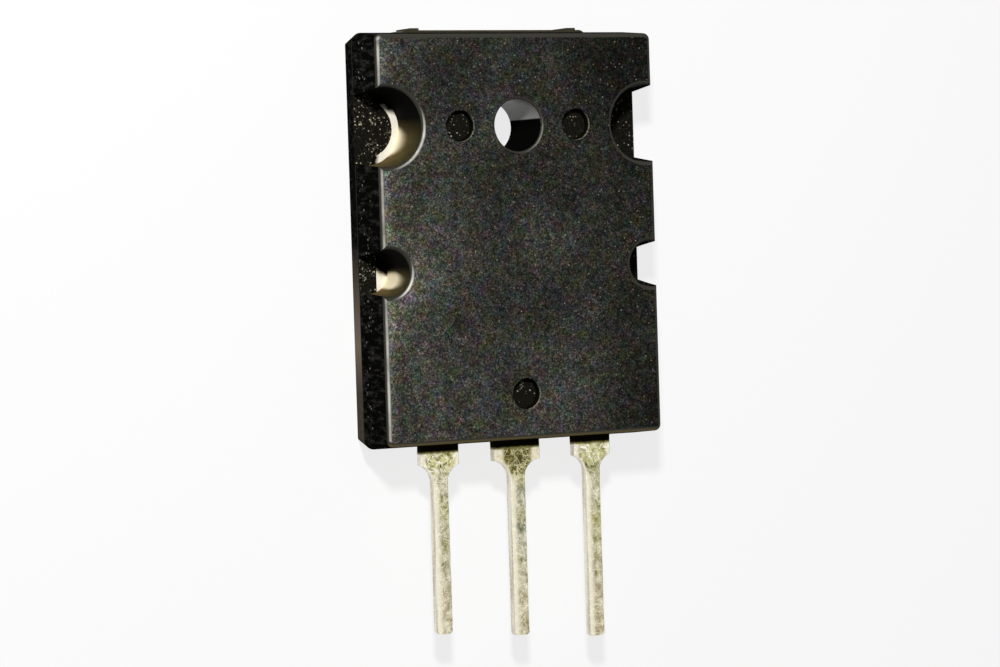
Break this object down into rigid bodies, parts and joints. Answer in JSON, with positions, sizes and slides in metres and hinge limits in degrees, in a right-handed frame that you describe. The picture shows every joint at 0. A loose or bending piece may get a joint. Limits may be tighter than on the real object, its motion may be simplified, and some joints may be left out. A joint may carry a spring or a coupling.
{
  "type": "npn power transistor",
  "caption": "Flat black moulded power transistor with a screw hole, side notches, a metal back plate and flat in-line leads.",
  "frame": {"origin": "on the screw hole's axis, in the plane of the metal mounting face that goes against a heat sink", "axes": "+Z along the screw hole, out of the moulded front face; +Y along the body away from the leads; +X to the right when the front face is looked at with the leads down"},
  "size_m": [0.02, 0.0391, 0.005],
  "materials": {
    "moulding_compound": "black filled epoxy moulding compound, matt",
    "plated_copper": "thinly nickel-plated copper strip, satin",
    "tinned_copper": "hot-dip tinned copper strip, bright",
    "silicon": "sawn silicon with a metallised face",
    "solder": "dull soft solder",
    "bond_aluminium": "drawn aluminium wire"
  },
  "bodies": {
    "root": {"moulded_body": "moulding_compound", "collector_header": "plated_copper", "base_lead": "tinned_copper", "emitter_lead": "tinned_copper", "silicon_chip": "silicon", "die_solder": "solder", "base_wire": "bond_aluminium", "emitter_wire_inner": "bond_aluminium", "emitter_wire_outer": "bond_aluminium"}
  },
  "joints": []
}
